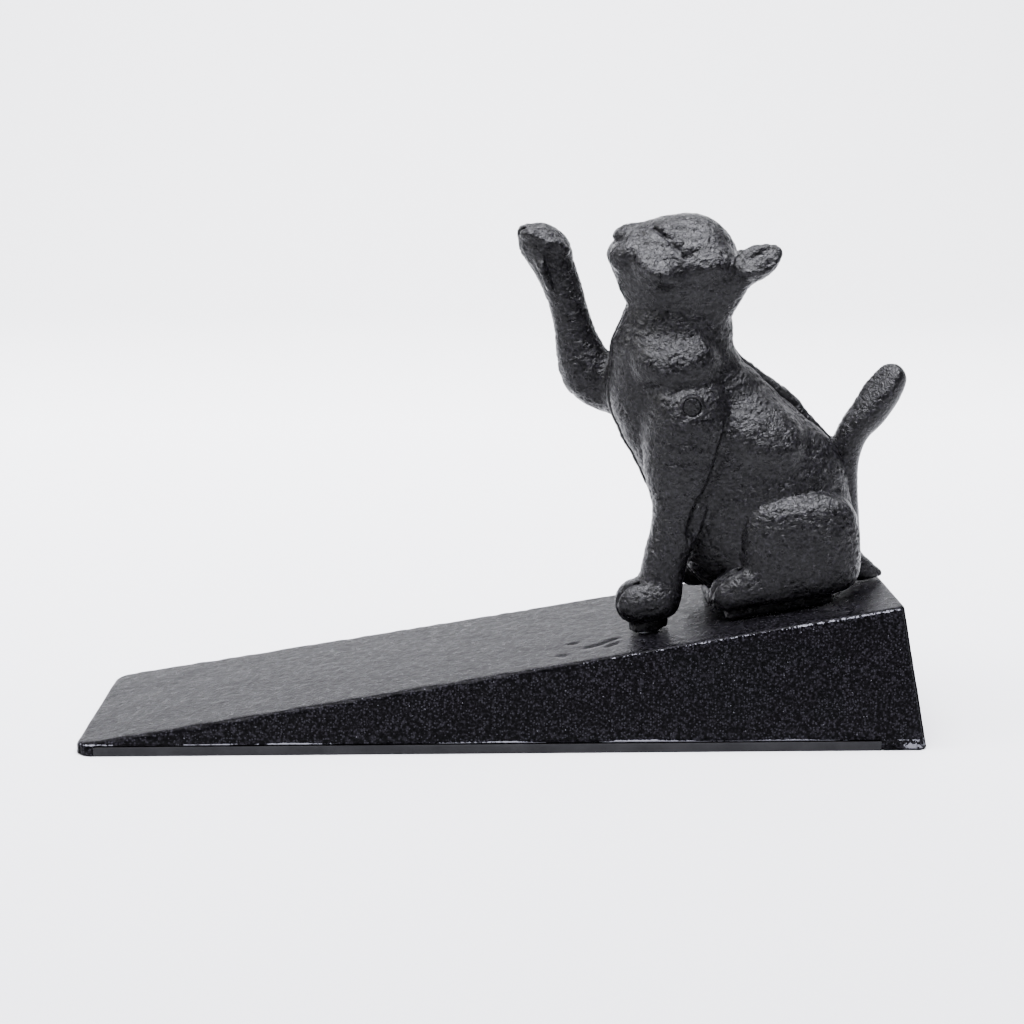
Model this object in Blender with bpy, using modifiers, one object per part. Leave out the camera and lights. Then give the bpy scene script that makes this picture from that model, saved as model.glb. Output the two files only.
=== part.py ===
"""Wedge door stop in cast iron, with a sitting cat that reaches up with one forepaw.

A hollow wedge casting carries a cat cast as two half shells. A rivet through the shoulders closes
the shells, two screws from inside the wedge hold them down, and a rubber sole closes the hollow.

Units are metres and +Z is up. The origin is on the floor under the middle of the wedge, +X points
to its high end, and the cat looks along -X, so its left side is at -Y.
"""

import math

import bmesh
import bpy
from mathutils import Matrix, Vector

# Wedge casting
LENGTH = 0.165
WIDTH = 0.045
HIGH_END = 0.0287
TIP = 0.0023
SIDE_DRAFT = math.tan(math.radians(2.5))
REAR_SLOPE = 0.0055  # how far the rear face leans in over its height
TIP_CORNER = 0.0035
REAR_CORNER = 0.0010
EDGE_ROUND = 0.0009
WALL = 0.0035
POCKETS = ((-0.060, -0.020), (-0.017, 0.012), (0.015, 0.0725))  # hollows between the cross ribs
SIT_X = 0.0020  # the ramp a door meets ends here, before anything of the cat is over it
SEAT_DIP = 0.00015  # the cat's seat, behind the ramp, bends down by this at its rear end

# Rubber sole, let into the underside
SOLE_FROM = -0.0785
SOLE_TO = 0.0730
SOLE_THICK = 0.0016
SOLE_INSET = 0.0001

GAP = 0.0003  # between pieces that touch
THROUGH = 0.002  # how far a cutter runs past what it cuts

# Fasteners
SCREW_R = 0.0020
SCREW_HOLE_R = 0.0023
HEAD_R = 0.0040
HEAD_TALL = 0.0026
WASHER_R = 0.0046
WASHER_THICK = 0.0010
BOSS_R = 0.0055
FRONT_SCREW = (0.0290, -0.0078)  # x, y under the planted forepaw
REAR_SCREW = (0.0590, 0.0070)  # x, y under the right haunch
FRONT_SEAT_Z = 0.0130  # underside of each boss inside the wedge
REAR_SEAT_Z = 0.0175
SCREW_BITE = 0.0075  # how far a screw reaches into the cat
RIVET_X = 0.0362
RIVET_Z = 0.0658
RIVET_R = 0.0015
RIVET_HEAD_R = 0.0021
RIVET_HEAD_TALL = 0.0009
RIVET_HALF = 0.0129  # half the rivet's length, so both ends lie flush with the shoulders

# Cat casting
SHELL = 0.0026  # wall of the half shells
SIT_GAP = 0.0022  # between the cat's underside and the wedge
COLUMN_R = 0.0042  # pillar of metal around each fastener
PEG_R = 0.0020  # locating pegs cast on the left shell
PEG_LONG = 0.0022
PEGS = ((0.0350, 0.0860), (0.0600, 0.0440))  # x, z
FOOT_R = 0.0038  # round foot under the planted paw
PLINTH = (0.0500, 0.0645, 0.0110)  # x from, x to, and how far the base under each haunch reaches out
FORM_VOXEL = 0.0009
FORM_SMOOTH = 5
FORM_FACES = 0.28  # share of the faces kept on the outer form
CORE_VOXEL = 0.0012
CORE_FACES = 0.20
BEAD_STEP = 0.30  # distance between beads, as a share of their radius

# Each chain is (flatness across Y, ((x, y, z, radius), ...)), a row of swelling beads.
TORSO = (0.64, ((0.0336, 0, 0.0730, 0.0118), (0.0346, 0, 0.0675, 0.0134), (0.0402, 0, 0.0602, 0.0148),
                (0.0462, 0, 0.0522, 0.0168), (0.0514, 0, 0.0460, 0.0182), (0.0525, 0, 0.0420, 0.0180)))
NECK = (0.74, ((0.0350, 0, 0.0880, 0.0102), (0.0352, 0, 0.0825, 0.0098), (0.0344, 0, 0.0785, 0.0106),
               (0.0336, 0, 0.0750, 0.0116)))
SKULL = (1.02, ((0.0360, 0, 0.0925, 0.0096), (0.0330, 0, 0.0922, 0.0093)))
JAW = (1.00, ((0.0318, 0, 0.0905, 0.0078), (0.0290, 0, 0.0922, 0.0068)))
MUZZLE = (1.08, ((0.0290, 0, 0.0943, 0.0052), (0.0255, 0, 0.0948, 0.0046)))
CHIN = (0.95, ((0.0285, 0, 0.0918, 0.0050), (0.0245, 0, 0.0925, 0.0037)))
CHEEK = (0.95, ((0.0325, 0.0042, 0.0905, 0.0070),))
SHOULDER = (0.80, ((0.0352, 0.0064, 0.0715, 0.0074), (0.0356, 0.0066, 0.0660, 0.0082),
                  (0.0362, 0.0066, 0.0610, 0.0086)))
RIBS = (0.70, ((0.0500, 0.0056, 0.0585, 0.0088),))
THIGH = (0.66, ((0.0540, 0.0072, 0.0402, 0.0080), (0.0600, 0.0072, 0.0380, 0.0102),
                (0.0590, 0.0070, 0.0350, 0.0110)))
FORELEG = (0.86, ((0.0362, -0.0062, 0.0610, 0.0088), (0.0352, -0.0070, 0.0540, 0.0076),
                  (0.0350, -0.0078, 0.0470, 0.0058), (0.0336, -0.0082, 0.0410, 0.0046),
                  (0.0322, -0.0084, 0.0360, 0.0042), (0.0312, -0.0084, 0.0300, 0.0043)))
PAW = (0.98, ((0.0303, -0.0084, 0.0270, 0.0045), (0.0264, -0.0084, 0.0260, 0.0043)))
LEFT_FOOT = (0.95, ((0.0560, -0.0088, 0.0302, 0.0052), (0.0500, -0.0092, 0.0298, 0.0046),
                    (0.0446, -0.0092, 0.0284, 0.0038)))
RIGHT_FOOT = (0.95, ((0.0560, 0.0088, 0.0302, 0.0052), (0.0480, 0.0092, 0.0300, 0.0048),
                     (0.0420, 0.0092, 0.0286, 0.0040)))
RAISED_ARM = (0.80, ((0.0285, 0.0060, 0.0675, 0.0078), (0.0222, 0.0080, 0.0678, 0.0061),
                     (0.0180, 0.0085, 0.0697, 0.0057), (0.0161, 0.0086, 0.0738, 0.0048),
                     (0.0148, 0.0086, 0.0783, 0.0040), (0.0137, 0.0086, 0.0825, 0.0036),
                     (0.0125, 0.0086, 0.0865, 0.0037), (0.0109, 0.0086, 0.0905, 0.0042),
                     (0.0092, 0.0086, 0.0938, 0.0046), (0.0080, 0.0086, 0.0960, 0.0044)))
TAIL = (0.88, ((0.0772, 0.0012, 0.0690, 0.0032), (0.0758, 0.0012, 0.0670, 0.0036),
               (0.0730, 0.0012, 0.0630, 0.0034), (0.0702, 0.0012, 0.0588, 0.0033),
               (0.0684, 0.0012, 0.0535, 0.0033), (0.0686, 0.0012, 0.0470, 0.0030),
               (0.0692, 0.0012, 0.0400, 0.0030), (0.0696, 0.0012, 0.0340, 0.0030)))
TAIL_ROOT = (0.88, ((0.0696, 0.0012, 0.0320, 0.0032), (0.0728, 0.0012, 0.0298, 0.0030),
                    (0.0756, 0.0012, 0.0286, 0.0020)))
TAIL_ROOT_X = 0.0675  # behind this the casting comes down onto the wedge
EAR = (0.55, ((0.0440, 0.0066, 0.0912, 0.0056), (0.0478, 0.0084, 0.0924, 0.0040),
              (0.0500, 0.0096, 0.0938, 0.0026), (0.0517, 0.0104, 0.0950, 0.0013)))
EAR_CUP = (0.0478, 0.0112, 0.0940, 0.0023)

IRON = ("cast_iron_paint", (0.035, 0.034, 0.038), 0.45, 0.0)
RUBBER = ("sole_rubber", (0.020, 0.020, 0.020), 0.90, 0.0)
STEEL = ("zinc_steel", (0.55, 0.56, 0.58), 0.35, 1.0)


def clear_scene():
    for obj in list(bpy.data.objects):
        bpy.data.objects.remove(obj)


def new_collection(name):
    made = bpy.data.collections.new(name)
    bpy.context.scene.collection.children.link(made)
    return made


def material(finish):
    name, colour, roughness, metallic = finish
    found = bpy.data.materials.get(name)
    if found:
        return found
    made = bpy.data.materials.new(name)
    made.use_nodes = True
    shader = made.node_tree.nodes["Principled BSDF"]
    shader.inputs["Base Color"].default_value = (*colour, 1)
    shader.inputs["Roughness"].default_value = roughness
    shader.inputs["Metallic"].default_value = metallic
    return made


def new_object(name, mesh, group, finish=None):
    obj = bpy.data.objects.new(name, mesh)
    group.objects.link(obj)
    if finish:
        mesh.materials.append(material(finish))
    else:
        obj.hide_render = True
        obj.display_type = "WIRE"
    return obj


def mesh_of(name, build):
    """A mesh filled by build(bm)."""
    bm = bmesh.new()
    build(bm)
    mesh = bpy.data.meshes.new(name)
    bm.to_mesh(mesh)
    bm.free()
    return mesh


def boolean(obj, other, operation):
    modifier = obj.modifiers.new(f"{operation.lower()} {other.name}", "BOOLEAN")
    modifier.operation = operation
    modifier.object = other


def bake_modifiers(obj):
    """Replaces the object's mesh by its evaluated one, so that later steps start from it."""
    bpy.context.view_layer.update()
    evaluated = obj.evaluated_get(bpy.context.evaluated_depsgraph_get())
    obj.data = bpy.data.meshes.new_from_object(evaluated)
    obj.modifiers.clear()


def close_gaps(mesh):
    """Fills the lone triangles that a cut through a fine skin can leave open at its rim."""
    bm = bmesh.new()
    bm.from_mesh(mesh)
    bmesh.ops.holes_fill(bm, edges=bm.edges[:], sides=3)
    bmesh.ops.recalc_face_normals(bm, faces=bm.faces[:])
    bm.to_mesh(mesh)
    bm.free()


def ramp_z(x):
    """Height of the wedge's top at x."""
    share = (x + LENGTH / 2) / (LENGTH - REAR_SLOPE)
    return TIP + (HIGH_END - TIP) * share


def block(name, group, x_range, half_width, bottom, tops, finish=None, top_shift=0, narrowing=0):
    """A box whose top slopes from tops[0] to tops[1] and whose upper edges draw in by the draft."""

    def build(bm):
        bmesh.ops.create_cube(bm, size=2)
        for vertex in bm.verts:
            rear, up = vertex.co.x > 0, vertex.co.z > 0
            x = x_range[1] if rear else x_range[0]
            z = tops[1 if rear else 0] if up else bottom
            y = half_width - (narrowing * (z - bottom) if up else 0)
            vertex.co = (x - (top_shift if rear and up else 0), math.copysign(y, vertex.co.y), z)

    return new_object(name, mesh_of(name, build), group, finish)


def cylinder(name, group, radius, start, end, segments=32):
    """A round bar from start to end, to cut or join with."""
    start, end = Vector(start), Vector(end)
    along = end - start
    turn = along.to_track_quat("Z", "Y").to_matrix().to_4x4()

    def build(bm):
        bmesh.ops.create_cone(
            bm, cap_ends=True, segments=segments, radius1=radius, radius2=radius, depth=along.length,
            matrix=Matrix.Translation((start + end) / 2) @ turn,
        )

    return new_object(name, mesh_of(name, build), group)


def turned(name, group, profile, place, finish, steps=32):
    """A profile of (radius, height) points, from the top down, spun round a vertical axis at place."""

    def build(bm):
        row = [bm.verts.new((radius, 0, height)) for radius, height in profile]
        if profile[0][0] > 0:
            row.append(row[0])  # a profile that starts off the axis closes on itself
        for first, second in zip(row, row[1:]):
            bm.edges.new((first, second))

    obj = new_object(name, mesh_of(name, build), group, finish)
    obj.location = place
    spin = obj.modifiers.new("Spin", "SCREW")
    spin.steps = spin.render_steps = steps
    spin.use_merge_vertices = True
    spin.merge_threshold = 0.00001
    return obj


# Wedge


def wedge_body(parts, cutters):
    """The hollow casting: a wedge, its pockets, the sole's rebate and two screw bosses."""
    obj = block(
        "wedge_body", parts, (-LENGTH / 2, LENGTH / 2), WIDTH / 2, 0, (TIP, HIGH_END), IRON,
        top_shift=REAR_SLOPE, narrowing=SIDE_DRAFT,
    )
    bm = bmesh.new()
    bm.from_mesh(obj.data)
    for sign, radius in ((-1, TIP_CORNER), (1, REAR_CORNER)):
        corners = [
            edge for edge in bm.edges
            if all(v.co.x * sign > 0 for v in edge.verts) and edge.verts[0].co.y * edge.verts[1].co.y > 0
            and abs(edge.verts[0].co.z - edge.verts[1].co.z) > TIP / 2
        ]
        bmesh.ops.bevel(bm, geom=corners, offset=radius, segments=5, affect="EDGES", profile=0.5)
    everything = bm.verts[:] + bm.edges[:] + bm.faces[:]
    bmesh.ops.bisect_plane(bm, geom=everything, plane_co=(SIT_X, 0, 0), plane_no=(1, 0, 0))
    for vertex in bm.verts:
        if vertex.co.x > SIT_X + THROUGH and vertex.co.z > HIGH_END / 2:
            vertex.co.z -= SEAT_DIP
    upper = [
        edge for edge in bm.edges
        if min(v.co.z for v in edge.verts) > TIP / 2 and edge.calc_face_angle(0) > math.radians(40)
    ]
    bmesh.ops.bevel(bm, geom=upper, offset=EDGE_ROUND, segments=3, affect="EDGES", profile=0.5)
    bm.to_mesh(obj.data)
    bm.free()

    rebate = block(
        "rebate", cutters, (SOLE_FROM - GAP, SOLE_TO + GAP), WIDTH, -THROUGH, (SOLE_THICK + GAP,) * 2
    )
    boolean(obj, rebate, "DIFFERENCE")
    for number, (start, end) in enumerate(POCKETS):
        pocket = block(
            f"pocket_{number}", cutters, (start, end), WIDTH / 2 - WALL, -THROUGH,
            (ramp_z(start) - WALL, ramp_z(end) - WALL), narrowing=SIDE_DRAFT,
        )
        boolean(obj, pocket, "DIFFERENCE")
    for name, (x, y), seat in (("front", FRONT_SCREW, FRONT_SEAT_Z), ("rear", REAR_SCREW, REAR_SEAT_Z)):
        boss = cylinder(
            f"{name}_boss", cutters, BOSS_R, (x, y, seat), (x, y, ramp_z(x - BOSS_R) - WALL / 3)
        )
        boolean(obj, boss, "UNION")
        hole = cylinder(
            f"{name}_hole", cutters, SCREW_HOLE_R, (x, y, seat - THROUGH), (x, y, HIGH_END + THROUGH)
        )
        boolean(obj, hole, "DIFFERENCE")
    return obj


def rubber_sole(parts):
    return block(
        "rubber_sole", parts, (SOLE_FROM, SOLE_TO), WIDTH / 2 - SOLE_INSET, 0, (SOLE_THICK,) * 2, RUBBER
    )


# Cat


def mirrored(chain, sign):
    flatness, points = chain
    return flatness, [(x, y * sign, z, radius) for x, y, z, radius in points]


def along_chain(points):
    """Beads on a smooth curve through the chain's points, close enough to leave no waist."""
    if len(points) == 1:
        return list(points)
    rows = [Vector(p) for p in points]
    rows = [2 * rows[0] - rows[1], *rows, 2 * rows[-1] - rows[-2]]
    found = []
    for a, b, c, d in zip(rows, rows[1:], rows[2:], rows[3:]):
        count = max(1, math.ceil((c - b).to_3d().length / (BEAD_STEP * min(b[3], c[3]))))
        square, cube = 2 * a - 5 * b + 4 * c - d, 3 * b - a - 3 * c + d
        for step in range(count):
            t = step / count
            found.append(b + 0.5 * ((c - a) * t + square * t**2 + cube * t**3))
    return [*found, rows[-2]]


def add_chain(bm, chain, inset=0.0):
    """Adds the chain's beads, each a sphere flattened across Y, smaller by inset."""
    flatness, points = chain
    for x, y, z, radius in along_chain(points):
        size = radius - inset
        if size <= 0:
            continue
        across = (radius * flatness - inset) / size
        squash = Matrix.Diagonal((1, across, 1, 1))
        bmesh.ops.create_uvsphere(
            bm, u_segments=20, v_segments=12, radius=size, matrix=Matrix.Translation((x, y, z)) @ squash
        )


def form(name, group, build, voxel, smooth, faces):
    """One smooth skin round everything that build adds, with fewer faces where it is flat."""
    obj = new_object(name, mesh_of(name, build), group)
    skin = obj.modifiers.new("Skin", "REMESH")
    skin.mode = "VOXEL"
    skin.voxel_size = voxel
    soften = obj.modifiers.new("Soften", "SMOOTH")
    soften.factor = 0.5
    soften.iterations = smooth
    thin = obj.modifiers.new("Thin out", "DECIMATE")
    thin.ratio = faces
    bake_modifiers(obj)
    return obj


def cat_form(name, group, sign):
    """The outer shape of one side of the cat, as if that whole side's limbs were on one solid."""

    def build(bm):
        for chain in (TORSO, NECK, SKULL, JAW, MUZZLE, CHIN):
            add_chain(bm, chain)
        for chain in (CHEEK, SHOULDER, RIBS, THIGH, EAR):
            add_chain(bm, mirrored(chain, sign))
        for chain in (FORELEG, PAW, LEFT_FOOT) if sign < 0 else (RAISED_ARM, RIGHT_FOOT, TAIL, TAIL_ROOT):
            add_chain(bm, chain)

    return form(name, group, build, FORM_VOXEL, FORM_SMOOTH, FORM_FACES)


def core_form(name, group, sign):
    """The hollow inside the thick parts of the cat."""

    def build(bm):
        for chain in (TORSO, NECK, SKULL):
            add_chain(bm, chain, SHELL)
        add_chain(bm, mirrored(THIGH, sign), SHELL)

    return form(name, group, build, CORE_VOXEL, FORM_SMOOTH, CORE_FACES)


def under_plane(name, group, lift, start=-LENGTH / 2, end=LENGTH / 2 + THROUGH):
    """Everything below a plane parallel to the ramp and lift above it, from start to end."""
    ends = (start, end)
    return block(name, group, ends, WIDTH, -HIGH_END, [ramp_z(x) + lift for x in ends])


def ear_cup(side, group, sign):
    """The hollow of the ear."""
    x, y, z, radius = EAR_CUP

    def build(bm):
        bmesh.ops.create_uvsphere(
            bm, u_segments=14, v_segments=9, radius=radius, matrix=Matrix.Translation((x, y * sign, z))
        )

    return new_object(f"{side}_ear_cup", mesh_of(f"{side}_ear_cup", build), group)


def tail_envelope(name, group, margin):
    def build(bm):
        for chain in (TAIL, TAIL_ROOT):
            add_chain(bm, chain, -margin)

    return form(name, group, build, FORM_VOXEL, 0, CORE_FACES)


def hollow(side, group, sign):
    """The space inside one half shell, less the pillars that its fasteners and pegs need."""
    pillars = [("rivet_post", (RIVET_X, RIVET_Z))] + [(f"peg_post_{n}", peg) for n, peg in enumerate(PEGS)]
    cutters = [
        cylinder(f"{side}_{post}", group, COLUMN_R, (x, -WIDTH / 2, z), (x, WIDTH / 2, z), 20)
        for post, (x, z) in pillars
    ]
    if sign > 0:
        x, y = REAR_SCREW
        cutters.append(cylinder("right_screw_post", group, COLUMN_R, (x, y, 0), (x, y, RIVET_Z), 20))
    cutters.append(under_plane(f"{side}_core_floor", group, SIT_GAP + SHELL))
    core = core_form(f"{side}_core", group, sign)
    for cutter in cutters:
        boolean(core, cutter, "DIFFERENCE")
    bake_modifiers(core)
    return core


def beyond_seam(side, group, sign):
    """Everything on the far side of the seam, except the tail, which is all on the right half."""
    obj = block(f"{side}_other_side", group, (-LENGTH, LENGTH), WIDTH, -HIGH_END, (LENGTH,) * 2)
    obj.location.y = -sign * (WIDTH - GAP / 2)
    if sign > 0:
        boolean(obj, tail_envelope("tail_kept", group, GAP), "DIFFERENCE")
        bake_modifiers(obj)
    return obj


def locating(group, sign):
    """The pegs on the left half, or the sockets for them in the right half."""
    if sign < 0:
        label, radius, end = "peg", PEG_R, PEG_LONG
    else:
        label, radius, end = "socket", PEG_R + GAP, PEG_LONG + 2 * GAP
    return [
        cylinder(f"{label}_{n}", group, radius, (x, -PEG_LONG, z), (x, end, z), 20)
        for n, (x, z) in enumerate(PEGS)
    ]


def stand_on_wedge(stand, group):
    """Cuts off a foot or a plinth just above the wedge."""
    boolean(stand, under_plane(f"{stand.name}_floor", group, GAP), "DIFFERENCE")
    bake_modifiers(stand)
    return stand


def foot(group):
    """The round foot under the planted paw."""
    x, y = FRONT_SCREW
    low, high = ramp_z(x) - FOOT_R, ramp_z(x) + 2 * SIT_GAP
    return stand_on_wedge(cylinder("foot", group, FOOT_R, (x, y, low), (x, y, high), 24), group)


def plinth(side, group, sign):
    """The low base, set well back, on which a haunch sits."""
    start, end, reach = PLINTH
    tops = [ramp_z(x) + 2 * SIT_GAP for x in (start, end)]
    half_width = (reach - GAP / 2) / 2
    stand = block(f"{side}_plinth", group, (start, end), half_width, ramp_z(start) - FOOT_R, tops)
    for vertex in stand.data.vertices:
        vertex.co.y += sign * (half_width + GAP / 2)
    return stand_on_wedge(stand, group)


def tapping(group, name, place):
    """The hole that a screw bites into."""
    x, y = place
    top = ramp_z(x) + SCREW_BITE + GAP
    return cylinder(f"{name}_tapping", group, SCREW_R + GAP / 2, (x, y, 0), (x, y, top))


def rivet_holes(side, group, sign):
    """The rivet's hole, and the sink for its peened end."""
    x, z, near = RIVET_X, RIVET_Z, RIVET_HALF - RIVET_HEAD_TALL - GAP
    hole = cylinder(f"{side}_rivet_hole", group, RIVET_R + GAP, (x, -WIDTH / 2, z), (x, WIDTH / 2, z), 24)
    sink = cylinder(
        f"{side}_rivet_sink", group, RIVET_HEAD_R + GAP, (x, sign * near, z), (x, sign * WIDTH / 2, z), 24
    )
    return [hole, sink]


def cat_half(name, parts, cutters, sign):
    """One half shell. Sign is -1 for the left half and 1 for the right half."""
    side = "left" if sign < 0 else "right"
    screw_name, place = ("front", FRONT_SCREW) if sign < 0 else ("rear", REAR_SCREW)
    removed = [
        under_plane(f"{side}_floor", cutters, SIT_GAP, end=TAIL_ROOT_X),
        under_plane(f"{side}_rear_floor", cutters, GAP, start=TAIL_ROOT_X - GAP),
        beyond_seam(side, cutters, sign), hollow(side, cutters, sign), ear_cup(side, cutters, sign),
    ]
    if sign < 0:
        removed.append(tail_envelope("tail_clearance", cutters, 2 * GAP))
    added = [plinth(side, cutters, sign)]
    if sign < 0:
        added.append(foot(cutters))
    drilled = [tapping(cutters, screw_name, place), *rivet_holes(side, cutters, sign)]
    (added if sign < 0 else drilled).extend(locating(cutters, sign))

    obj = cat_form(name, cutters, sign)
    for cutter in removed:
        boolean(obj, cutter, "DIFFERENCE")
    for cutter in added:
        boolean(obj, cutter, "UNION")
    for cutter in drilled:
        boolean(obj, cutter, "DIFFERENCE")
    bake_modifiers(obj)
    close_gaps(obj.data)
    cutters.objects.unlink(obj)
    parts.objects.link(obj)
    obj.hide_render = False
    obj.display_type = "TEXTURED"
    obj.data.materials.append(material(IRON))
    obj.data.shade_smooth()
    return obj


# Fasteners


def shoulder_rivet(parts):
    """A steel pin peened over at both ends in shallow sinks."""
    head = RIVET_HALF - RIVET_HEAD_TALL
    dome = 0.0002
    profile = (
        (0, RIVET_HALF), (RIVET_HEAD_R * 0.6, RIVET_HALF - dome / 2),
        (RIVET_HEAD_R, RIVET_HALF - 2 * dome),
        (RIVET_HEAD_R, head), (RIVET_R, head), (RIVET_R, -head), (RIVET_HEAD_R, -head),
        (RIVET_HEAD_R, 2 * dome - RIVET_HALF), (RIVET_HEAD_R * 0.6, dome / 2 - RIVET_HALF),
        (0, -RIVET_HALF),
    )
    obj = turned("shoulder_rivet", parts, profile, (RIVET_X, 0, RIVET_Z), STEEL, steps=24)
    obj.rotation_euler.x = math.radians(90)
    return obj


def screw(name, parts, cutters, place, seat):
    """A pan-head screw, upright, with its head under the boss and a cross recess below."""
    x, y = place
    under_head = -GAP - WASHER_THICK - GAP
    tip = ramp_z(x) + SCREW_BITE - seat
    flank = HEAD_R * 0.86
    profile = (
        (0, tip), (SCREW_R * 0.6, tip), (SCREW_R, tip - SCREW_R * 0.5), (SCREW_R, under_head),
        (HEAD_R, under_head), (HEAD_R, under_head - HEAD_TALL * 0.45),
        (flank, under_head - HEAD_TALL * 0.85),
        (HEAD_R * 0.55, under_head - HEAD_TALL), (0, under_head - HEAD_TALL),
    )
    obj = turned(name, parts, profile, (x, y, seat), STEEL)
    slot_long, slot_wide, slot_deep = HEAD_R * 1.1, 0.0009, HEAD_TALL * 0.6
    for degrees in (0, 90):
        slot = block(
            f"{name}_slot_{degrees}", cutters, (-slot_long / 2, slot_long / 2), slot_wide / 2, -THROUGH,
            (slot_deep,) * 2,
        )
        slot.location = (x, y, seat + under_head - HEAD_TALL)
        slot.rotation_euler.z = math.radians(degrees)
        boolean(obj, slot, "DIFFERENCE")
    return obj


def washer(name, parts, place, seat):
    top = -GAP
    bottom = top - WASHER_THICK
    inner = SCREW_R + GAP
    profile = ((inner, top), (WASHER_R, top), (WASHER_R, bottom), (inner, bottom))
    return turned(name, parts, profile, (*place, seat), STEEL)


def main():
    clear_scene()
    parts = new_collection("Cat door stop")
    cutters = new_collection("Cutters")
    wedge_body(parts, cutters)
    rubber_sole(parts)
    cat_half("cat_left_half", parts, cutters, -1)
    cat_half("cat_right_half", parts, cutters, 1)
    shoulder_rivet(parts)
    for name, place, seat in (("front", FRONT_SCREW, FRONT_SEAT_Z), ("rear", REAR_SCREW, REAR_SEAT_Z)):
        screw(f"{name}_screw", parts, cutters, place, seat)
        washer(f"{name}_washer", parts, place, seat)


main()
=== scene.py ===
"""Looks of the cat wedge door stop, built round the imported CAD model.

The cat's two half shells are shaped as distance fields in millimetres and skinned at a fine
pitch. The wedge and the sole are lattices bent to shape. Everything is in the CAD frame, and
lengths are in millimetres until a mesh is made.
"""

import math

import bmesh
import bpy
import numpy as np
from mathutils import Matrix, Vector, noise


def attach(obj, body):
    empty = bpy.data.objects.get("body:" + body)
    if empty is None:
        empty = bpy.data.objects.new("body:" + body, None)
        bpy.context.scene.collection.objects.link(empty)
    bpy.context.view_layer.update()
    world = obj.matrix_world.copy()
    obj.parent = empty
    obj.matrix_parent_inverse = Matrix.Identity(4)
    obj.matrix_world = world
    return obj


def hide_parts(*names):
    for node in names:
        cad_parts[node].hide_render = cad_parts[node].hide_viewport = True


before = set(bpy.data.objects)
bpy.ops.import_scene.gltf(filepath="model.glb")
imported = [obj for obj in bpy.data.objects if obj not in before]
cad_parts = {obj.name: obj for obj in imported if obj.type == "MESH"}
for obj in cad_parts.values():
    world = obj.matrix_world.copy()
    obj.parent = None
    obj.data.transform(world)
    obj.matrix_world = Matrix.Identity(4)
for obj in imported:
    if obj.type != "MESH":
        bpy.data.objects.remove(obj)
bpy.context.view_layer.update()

MM = 0.001

# Wedge and sole, as in the CAD model
LENGTH, WIDTH, HIGH_END, TIP = 165.0, 45.0, 28.7, 2.3
REAR_SLOPE = 5.5  # how far the rear face leans in at the top
DRAFT = math.tan(math.radians(2.5))
SLOPE = (HIGH_END - TIP) / (LENGTH - REAR_SLOPE)
WALL = 3.5
SOLE = (-78.5, 73.0, 1.6)  # start, end and thickness
GAP = 0.3  # between touching pieces

# What joins the cat's halves to each other and to the wedge
RIVET = (36.2, 65.8, 12.9)  # x, z and half its length
RIVET_HEAD = 1.7
RIVET_SHANK = 1.5
FRONT_SCREW = (29.0, 7.8)  # x, and y outwards from the seam
REAR_SCREW = (59.0, 7.0)
BOSS, SCREW_HOLE = 5.5, 2.3  # radii
FOOT = 3.8  # radius of the pad under the planted paw
SIT_GAP = 2.2  # from the ramp up to the cat's belly and feet
PLINTH = (64.5, 12.2)  # its rear end, and its reach outwards from the seam
LEFT_PLINTH, RIGHT_PLINTH = 44.0, 42.0  # where it starts under each half
TAIL_FOOT = 67.0  # behind this, the right half reaches down to the ramp
POCKETS = ((-60.0, -20.0), (-17.0, 12.0), (15.0, 72.5))  # hollows in the wedge, between its ribs
FRONT_SEAT, REAR_SEAT = 13.0, 17.5  # height of each boss's lower end

# Marks on the wedge's paint
DUST_LINE = 2.15  # height of the ragged pale line along the sides
CRACKS = (  # x and y of each crack ahead of the planted paw
    ((16.5, -13.2), (19.0, -12.6), (21.2, -11.0), (22.6, -10.4)),
    ((20.6, -14.6), (22.4, -13.4)),
    ((13.6, -9.0), (14.6, -9.3)),
    ((11.0, -15.5), (12.2, -15.9)),
)

# Pitch of each mesh
CAT_STEP = 0.34
WEDGE_STEP = 0.72
SOLE_STEP = 1.1


def ramp_z(x):
    """Height of the ramp."""
    return TIP + SLOPE * (x + LENGTH / 2)


# Distance fields


def length(*parts):
    return np.sqrt(sum(p * p for p in parts))


def spline(points, share=0.5):
    """Points on a smooth curve through rows of (x, y, z, radius)."""
    rows = np.array(points, float)
    if len(rows) == 1:
        return [rows[0], rows[0]]
    rows = np.vstack([2 * rows[0] - rows[1], rows, 2 * rows[-1] - rows[-2]])
    found = []
    for a, b, c, d in zip(rows, rows[1:], rows[2:], rows[3:]):
        count = max(1, math.ceil(np.linalg.norm((c - b)[:3]) / (share * min(b[3], c[3]) + 0.3)))
        for t in np.arange(count) / count:
            found.append(
                0.5 * (2 * b + (c - a) * t + (2 * a - 5 * b + 4 * c - d) * t**2
                       + (3 * b - a - 3 * c + d) * t**3)
            )
    return [*found, rows[-2]]


def limb(flat, points, share=0.5):
    """A tapering bar along a curve, flattened across Y: (low corner, high corner, distance)."""
    beads = spline(points, share)
    reach = np.array([1, flat, 1])
    low = np.min([b[:3] - b[3] * reach for b in beads], axis=0)
    high = np.max([b[:3] + b[3] * reach for b in beads], axis=0)

    def distance(x, y, z):
        best = None
        for a, b in zip(beads, beads[1:]):
            run = (b - a)[:3] / reach
            size = max(float(run @ run), 1e-6)
            px, py, pz = x - a[0], (y - a[1]) / flat, z - a[2]
            t = np.clip((px * run[0] + py * run[1] + pz * run[2]) / size, 0, 1)
            qx, qy, qz = px - t * run[0], py - t * run[1], pz - t * run[2]
            away = length(qx, qy, qz) + 1e-6
            lean = length(qx, qy / flat, qz) / away
            d = (away - (a[3] + t * (b[3] - a[3]))) / lean
            best = d if best is None else np.minimum(best, d)
        return best

    return low, high, distance


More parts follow.
